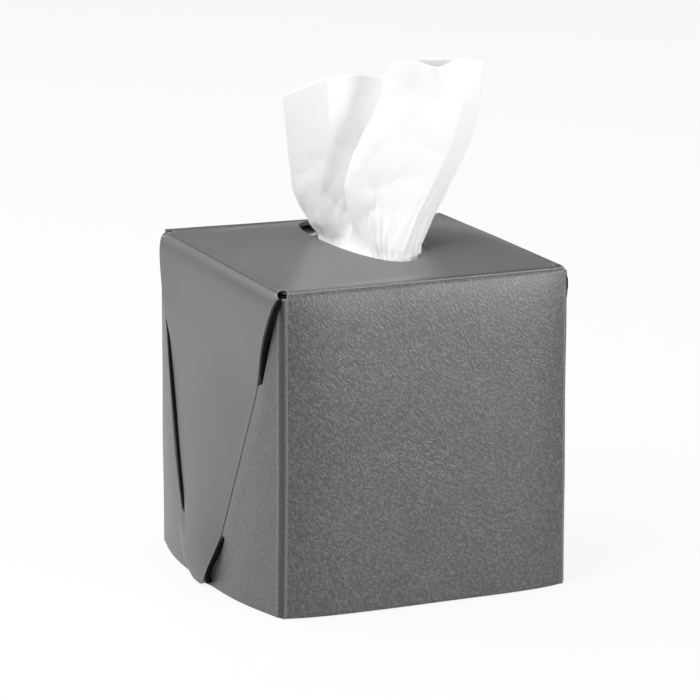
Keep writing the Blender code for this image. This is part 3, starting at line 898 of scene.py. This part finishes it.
def wing_bulge(reach, drop, side, end):
    """How far a wing's outer face stands out, at a reach from its upright fold."""
    seam = HALF_DEPTH - seam_distance(drop)
    if end < 0:
        loss = WING_SPREAD_LOSS * eased(drop, *FRONT_SPREAD_LOSS_START)
    else:
        below = max(drop - WING_SPREAD_HOLD, 0) / (HEIGHT - WING_SPREAD_HOLD)
        loss = WING_SPREAD_LOSS * below ** 2
    bulge = reach * (WING_SPREAD_SHARE - loss)
    share = min(max(reach / seam, 0), 1) if seam > 0 else 0
    bulge += WING_BOW * math.sin(math.pi * share) * (drop / HEIGHT) ** 1.5
    lap = (1 - window(drop, end)) * (1 - lower_window(drop, end))
    near = smooth_share((reach - wing_reach(drop, end) + LAP_RUN) / LAP_RUN)
    edge_share = 0 if end < 0 else 1
    outer = flap_bulge(drop, side) - flap_pull(edge_share, drop) - LAP_SINKS[end]
    return bulge + (outer - bulge) * lap * near


def wing_place(side, end):
    def place(across, run):
        """Here across is the drop, and the run goes round the upright fold."""
        if run < 0:
            x = HALF_WIDTH + run
            return Vector((side * x, end * (HALF_DEPTH + end_swell(x, across)),
                           HEIGHT - across))
        return Vector((side * (HALF_WIDTH + wing_bulge(run, across, side, end)),
                       end * (HALF_DEPTH - run), HEIGHT - across))
    return place


def wing_spread(end):
    def spread(drop, share):
        """From 0 to 1 the share crosses the fold, and from 1 to 2 the flat triangle."""
        reach = max(wing_reach(drop, end), WING_LEAST_REACH)
        fold_reach = min(reach, FOLD_END)
        if share <= 1:
            return drop, UPRIGHT_START + (fold_reach - UPRIGHT_START) * share
        return drop, fold_reach + (reach - fold_reach) * (share - 1)
    return spread


def wing_relief(across, run):
    """The upright fold's score, and above it the one of the front's or the back's fold."""
    return upright_score(run) + (edge_score(across) if run < 0 else 0)


WING_DROPS = graded(
    WING_TOP_DROP, (38 * MM, 40), (47 * MM, 24), (108 * MM, 46), (123 * MM, 32),
    (HEM_DROP, 14))
for end_name, end in (("front", -1), ("back", 1)):
    for side_name, side in (("left", -1), ("right", 1)):
        wing_bm = leather_sheet(
            WING_DROPS, graded(0, (1, WING_FOLD_COLUMNS), (2, WING_FLAT_COLUMNS)),
            wing_place(side, end), wing_relief, Vector((side, end * 0.3, 0)), wing_spread(end))
        give_board(wing_bm, lambda edge: any(
            abs(vert.co.x) > panel_x + CUT_MARGIN for vert in edge.verts))
        wing = add_piece(
            f"{end_name}_{side_name}_wing_leather", wing_bm, wing_leather,
            [f"{end_name}_{side_name}_wing"])
        punch_corner_holes(wing, crossing=True)
        sharpen(wing)
        side * (HALF_WIDTH - BLEND_START)
        end * HALF_DEPTH
        HEIGHT / 2
        side * HALF_WIDTH
        end * (HALF_DEPTH - BLEND_END)
        HEIGHT / 2
        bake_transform(wing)


# Elastic cords.  Round black cords with a braided cover, knotted inside the corner
# holes; each runs down the seam, behind the tip of its flap, and up again.
CORD_SINK_UNIT = LEATHER + 2 * CORD_RADIUS
CORD_STEP = 1.5 * MM
CORD_SIDES = 14
CORD_CURVE_PARTS = 24
CORD_STRAND_RELIEF = 0.07 * MM
CORD_STRANDS = 3
CORD_STRAND_TURN = 1.1
CORD_SHEEN_SIZE = 0.5 * MM
CORD_SHEEN_DEPTH = 0.05 * MM
CORD_SHADES = (0.001, 0.006)
# From the front corner hole to the back one: the share of the seam's distance from the
# middle of the side, the share of the height below the fold, and how deep the cord's
# middle lies under the flap's outer face, as a share of the leather and the cord.
CORD_ROUTE = (
    (-.975, .014, .80), (-.99, .030, .46), (-1, .058, .36), (-1, .111, .34), (-1, .165, .31),
    (-1, .218, .28), (-1, .263, .29), (-1, .288, .40), (-1, .320, 1.00), (-1, .432, 1.05),
    (-1, .518, 1.05), (-1, .604, 1.05), (-1, .691, 1.05), (-1, .763, 1.05), (-1, .790, .98),
    (-1, .808, .72), (-1, .825, .40), (-1, .850, .24), (-1, .900, .15), (-.985, .945, .13),
    (-.965, .978, .38),
    (-.77, .981, .90), (-.31, .981, .97), (.31, .981, .97), (.79, .979, .96),
    (.98, .963, .97), (1, .931, .97), (1, .899, .97), (1, .865, .95), (1, .835, .75),
    (1, .808, .30), (1, .770, .10), (1, .719, .05), (1, .611, .05), (1, .504, .05),
    (1, .396, .06), (1, .330, .15), (1, .280, .32), (1, .218, .48), (1, .165, .54),
    (1, .111, .55), (1, .058, .52), (.995, .025, .50), (.985, .012, .60))

cord_finish = Finish("black_braided_cord")
cord_sheen = cord_finish.noise(cord_finish.place(), CORD_SHEEN_SIZE, 2)
cord_finish.set(
    Base_Color=cord_finish.mix(cord_sheen, *[grey(shade) for shade in CORD_SHADES]),
    Roughness=0.8, Specular_IOR_Level=0.1,
    Normal=cord_finish.bump(cord_sheen, CORD_SHEEN_DEPTH))
for node_name, node in frame["nodes"].items():
    if "knot" in node_name:
        node.data.materials.clear()
        node.data.materials.append(cord_finish.material)


def cord_point(side, reach_share, drop_share, sink_share):
    """A point of the cord's middle line beside a flap."""
    drop = drop_share * HEIGHT
    flap_edge = flap_bulge(drop, side) - flap_pull(0 if reach_share < 0 else 1, drop)
    x = HALF_WIDTH + flap_edge - sink_share * CORD_SINK_UNIT
    return lean(Vector((side * x, reach_share * seam_distance(drop), HEIGHT - drop)))


def evenly(points, step):
    """Points at even steps along a smooth curve through the given ones."""
    fine = []
    for index in range(len(points) - 1):
        before = points[max(index - 1, 0)]
        after = points[min(index + 2, len(points) - 1)]
        start, end = points[index], points[index + 1]
        for part in range(CORD_CURVE_PARTS):
            share = part / CORD_CURVE_PARTS
            fine.append(0.5 * (
                2 * start + (end - before) * share
                + (2 * before - 5 * start + 4 * end - after) * share ** 2
                + (3 * start - before - 3 * end + after) * share ** 3))
    fine.append(points[-1])
    lengths = [0]
    for start, end in zip(fine, fine[1:]):
        lengths.append(lengths[-1] + (end - start).length)
    count = round(lengths[-1] / step)
    even, index = [], 0
    for number in range(count + 1):
        at = lengths[-1] * number / count
        while index < len(fine) - 2 and lengths[index + 1] < at:
            index += 1
        span = lengths[index + 1] - lengths[index]
        even.append(fine[index].lerp(fine[index + 1], (at - lengths[index]) / span))
    return even


for side_name, side in (("left", -1), ("right", 1)):
    line = evenly([cord_point(side, *row) for row in CORD_ROUTE], CORD_STEP)
    cord_bm = bmesh.new()
    cord_bm.loops.layers.uv.new("along")
    bmesh.ops.create_grid(
        cord_bm, x_segments=len(line) - 1, y_segments=CORD_SIDES, size=0.5, calc_uvs=True)
    upright = Vector((1, 0, 0))
    cross_axes = []
    for index in range(len(line)):
        ahead = line[min(index + 1, len(line) - 1)] - line[max(index - 1, 0)]
        ahead.normalize()
        upright = (upright - ahead * upright.dot(ahead)).normalized()
        cross_axes.append((upright, ahead.cross(upright)))
    for vert in cord_bm.verts:
        index = round((vert.co.x + 0.5) * (len(line) - 1))
        turn = 2 * math.pi * (vert.co.y + 0.5)
        first, second = cross_axes[index]
        twist = index * CORD_STRAND_TURN
        strands = math.sin(CORD_STRANDS * turn + twist) * math.sin(CORD_STRANDS * turn - twist)
        radius = CORD_RADIUS + CORD_STRAND_RELIEF * strands
        vert.co = line[index] + radius * (first * math.cos(turn) + second * math.sin(turn))
    bmesh.ops.remove_doubles(cord_bm, verts=cord_bm.verts, dist=MERGE_DISTANCE)
    bmesh.ops.holes_fill(cord_bm, edges=cord_bm.edges, sides=CORD_SIDES)
    bmesh.ops.recalc_face_normals(cord_bm, faces=cord_bm.faces)
    cord = add_piece(
        f"{side_name}_braided_cord", cord_bm, cord_finish,
        [f"{side_name}_elastic_cord"])
    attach(cord, f"{side_name}_side")


# Raised tissue.  A two-ply paper tissue, pulled up by its middle out of the carton: it
# leaves the opening in crimped pleats and opens into a flat lobe on the left and a
# rolled one in front of it on the right.  Its other end is still crumpled in the carton.
TISSUE_SIZE = 190 * MM
TISSUE_PLY = 0.2 * MM
VIEW_TURN = math.radians(23.7)
VIEW_RISE = 0.253
TISSUE_COLUMNS = 220
TISSUE_ROWS = 200
# The paper's folds from its left edge to its right one.  Each row is a level, from the
# free edge down to the rim, with the place of each fold as (right, height, back) in mm,
# as it looks from the camera's side.
FOLD_LEVELS_MM = (
    ((-33.8, 205.9, 0), (-15, 213.2, -4), (-3, 215.2, 2), (9, 214.6, 7),
     (13.3, 219.8, -8), (24, 219.2, -17), (32, 216.8, -18), (41, 221.0, -13),
     (51.6, 219.5, -9), (47, 221.5, 4), (36, 222.6, 7), (24, 222.6, 9)),
    ((-32.8, 195, 0), (-14, 197, -5), (-3, 197, -1), (8, 196, 4),
     (7.5, 203, -9), (22, 204, -19), (34, 203, -18), (42.5, 203, -18),
     (50.2, 203, -10), (45, 203, 3), (35, 203, 6), (23, 203, 8)),
    ((-31.5, 179, 0), (-15, 179, -6), (-5, 179, -4), (5, 179, 1),
     (-2.5, 183, -12), (13, 186, -22), (29, 186, -22), (38.5, 184.5, -21),
     (45.4, 184, -12), (40, 184, 0), (31, 184, 4), (20, 184, 5)),
    ((-29.4, 163.5, -1), (-18, 163, -8), (-9, 163, -7), (0, 163, -4),
     (-7.8, 166, -16), (8, 165, -27), (21, 171, -25), (31, 168, -25),
     (37.6, 167, -16), (33, 167, -4), (26, 167, 1), (16, 167, 2)),
    ((-23.2, 151.5, -3), (-17, 149, -9), (-10, 150, -9), (-4, 149.5, -7),
     (-4.5, 150, -21), (6, 151, -31), (15, 153, -31), (23, 151.5, -31),
     (29.2, 150.5, -23), (27, 151, -12), (20, 151, -5), (10, 151, -4)),
    ((-18.8, 145.2, -4), (-14.5, 143.6, -4), (-9.5, 144.2, -6), (-5.5, 142.6, -12),
     (-1, 141.4, -25), (6, 139.3, -35), (12, 137.2, -38), (18.5, 136.6, -37),
     (24.4, 139.5, -30), (23, 142, -20), (16, 144, -11), (7, 145, -8)),
)
# Past the lobes the paper bends under, reaches forward to the rim and goes down inside
# the carton.  Each step is a share of the way to the rim, and a height under the rim.
SKIRT_STEPS = ((0.3, 6.5 * MM), (0.62, 2.6 * MM), (0.84, 1.2 * MM), (0.965, 0.5 * MM),
               (0.965, 3 * MM), (0.965, 5 * MM))
SKIRT_ANGLES_DEG = (196, 205, 216, 229, 244, 256, 266, 278, 294, 322, 352, 22)
SKIRT_RIM_SHARE = 0.975
SKIRT_SINK = 9 * MM
SKIRT_SINK_START_DEG = (280, 30)
# Then it lies in folds on the stack.  Each step is a share of the way out to the rim, and a
# height over the stack.
TAIL_STEPS = ((0.79, 13 * MM), (0.75, 3 * MM), (0.68, 14 * MM), (0.62, 3 * MM),
              (0.54, 14 * MM), (0.48, 3 * MM), (0.40, 14 * MM), (0.34, 3 * MM))
TAIL_PLEAT_DEPTH = 1.2 * MM
TAIL_PLEAT_RUN = 0.04
FACET_SHARE = 0.6
LOBE_LEVELS = 5
# The crimped pleats: their number across the whole paper, their depth, how far they reach
# from the neck, the share across at which they start, and how they wander.
PLEAT_COUNT = 30
PLEAT_DEPTH = 0.5 * MM
PLEAT_REACH_SHARE = 0.09
PLEAT_START_SHARES = (0.38, 0.15)
PLEAT_WANDER = 1.2
PLEAT_WANDER_SIZE = 22 * MM
# Each crumple has a size, a depth and a place in the noise.
CRUMPLES = ((26 * MM, 1.8 * MM, 3), (13 * MM, 1.1 * MM, 8), (6 * MM, 0.2 * MM, 5))
CRUMPLE_LEVEL = 0.2
CRUMPLE_LEAST_SHARE = 0.25
TISSUE_COLOR = (0.94, 0.94, 0.94, 1)
TISSUE_GLOW_DEPTH = 3 * MM
TISSUE_CREPE_SIZE = 0.7 * MM
TISSUE_CREPE_DEPTH = 0.03 * MM


def from_view(right, height, back):
    """A point given as it looks from the camera's side, in millimetres."""
    across = right * math.cos(VIEW_TURN) + back * math.sin(VIEW_TURN)
    depth = back * math.cos(VIEW_TURN) - right * math.sin(VIEW_TURN)
    return Vector((across, depth, height - VIEW_RISE * back)) * MM


def opening_rim(angle_deg, share):
    """A point of the oval opening's rim, or at a share of the way out to it."""
    turn = math.radians(angle_deg)
    x = share * OPENING_HALF_WIDTH * math.cos(turn)
    y = share * OPENING_HALF_LENGTH * math.sin(turn)
    return Vector((x, y, top_height(x, y)))


def through(marks, points, at):
    """A curve through points that stand at increasing marks, with softly bent corners."""
    last = len(points) - 1
    index = max(i for i in range(last) if marks[i] <= at or i == 0)
    before, after = max(index - 1, 0), min(index + 2, last)
    span = marks[index + 1] - marks[index]
    share = (at - marks[index]) / span
    leave = (points[index + 1] - points[before]) / (marks[index + 1] - marks[before]) * span
    arrive = (points[after] - points[index]) / (marks[after] - marks[index]) * span
    square, cube = share ** 2, share ** 3
    smooth = (points[index] * (2 * cube - 3 * square + 1)
              + leave * (cube - 2 * square + share)
              + points[index + 1] * (3 * square - 2 * cube) + arrive * (cube - square))
    return smooth.lerp(points[index].lerp(points[index + 1], share), FACET_SHARE)


def spaced(rows):
    """Marks from 0 to 1 for rows of points, by the mean distance from row to row."""
    marks = [0]
    for first, second in zip(rows, rows[1:]):
        gaps = [(one - other).length for one, other in zip(first, second)]
        marks.append(marks[-1] + sum(gaps) / len(gaps))
    return [mark / marks[-1] for mark in marks]


paper_levels = [[from_view(*fold) for fold in level] for level in FOLD_LEVELS_MM]
lobe_feet = paper_levels[-1]
for way, below in SKIRT_STEPS:
    level = []
    for foot, angle in zip(lobe_feet, SKIRT_ANGLES_DEG):
        rim = opening_rim(angle, SKIRT_RIM_SHARE)
        point = foot.lerp(rim, way)
        hidden = eased(angle, *SKIRT_SINK_START_DEG) if angle > 180 else 1
        point.z = min(rim.z, foot.z) - below - SKIRT_SINK * hidden * way
        level.append(point)
    paper_levels.append(level)
stack_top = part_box("tissue_stack")[1][2]
for tail_share, over_stack in TAIL_STEPS:
    level = [opening_rim(angle, tail_share) for angle in SKIRT_ANGLES_DEG]
    for point in level:
        point.z = stack_top + over_stack
    paper_levels.append(level)
level_marks = spaced(paper_levels)
fold_marks = spaced(list(zip(*paper_levels[:LOBE_LEVELS])))

paper = []
for index in range(TISSUE_COLUMNS + 1):
    column = [through(fold_marks, level, index / TISSUE_COLUMNS) for level in paper_levels]
    paper.append([through(level_marks, column, row / TISSUE_ROWS)
                  for row in range(TISSUE_ROWS + 1)])
neck_mark = level_marks[len(FOLD_LEVELS_MM) - 1]
tail_mark = level_marks[-len(TAIL_STEPS)]
tissue_bm = bmesh.new()
tissue_bm.loops.layers.uv.new("paper")
bmesh.ops.create_grid(
    tissue_bm, x_segments=TISSUE_COLUMNS, y_segments=TISSUE_ROWS, size=0.5, calc_uvs=True)
for vert in tissue_bm.verts:
    across, down = vert.co.x + 0.5, 0.5 - vert.co.y
    index, row = round(across * TISSUE_COLUMNS), round(down * TISSUE_ROWS)
    side = paper[min(index + 1, TISSUE_COLUMNS)][row] - paper[max(index - 1, 0)][row]
    below = paper[index][min(row + 1, TISSUE_ROWS)] - paper[index][max(row - 1, 0)]
    normal = side.cross(below).normalized()
    flat = Vector((across, down, 0)) * TISSUE_SIZE
    near_neck = bell(down - neck_mark, PLEAT_REACH_SHARE)
    on_right = eased(across, *PLEAT_START_SHARES)
    wander = PLEAT_WANDER * noise.noise(flat / PLEAT_WANDER_SIZE)
    pleat = PLEAT_DEPTH * near_neck * on_right
    pleat += TAIL_PLEAT_DEPTH * eased(down, tail_mark, TAIL_PLEAT_RUN)
    push = pleat * math.sin(2 * math.pi * (PLEAT_COUNT * across + wander))
    loose = CRUMPLE_LEAST_SHARE + (1 - CRUMPLE_LEAST_SHARE) * min(down / neck_mark, 1)
    for size, depth, seed in CRUMPLES:
        bend = noise.noise(flat / size + Vector((0, 0, seed)))
        push += depth * loose * (CRUMPLE_LEVEL - abs(bend))
    vert.co = paper[index][row] + normal * push

tissue_finish = Finish("white_tissue_paper")
tissue_crepe = tissue_finish.noise(tissue_finish.place(), TISSUE_CREPE_SIZE, 3)
tissue_finish.set(
    Base_Color=TISSUE_COLOR, Roughness=1.0, Specular_IOR_Level=0.1,
    Subsurface_Weight=0.15, Subsurface_Radius=(1, 1, 1), Subsurface_Scale=TISSUE_GLOW_DEPTH,
    Normal=tissue_finish.bump(tissue_crepe, TISSUE_CREPE_DEPTH))
tissue = add_piece(
    "raised_tissue", tissue_bm, tissue_finish, ["pulled_tissue"])
tissue_thickness = tissue.modifiers.new("ply", "SOLIDIFY")
tissue_thickness.thickness = TISSUE_PLY
tissue_thickness.offset = 0
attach(tissue, "tissue")
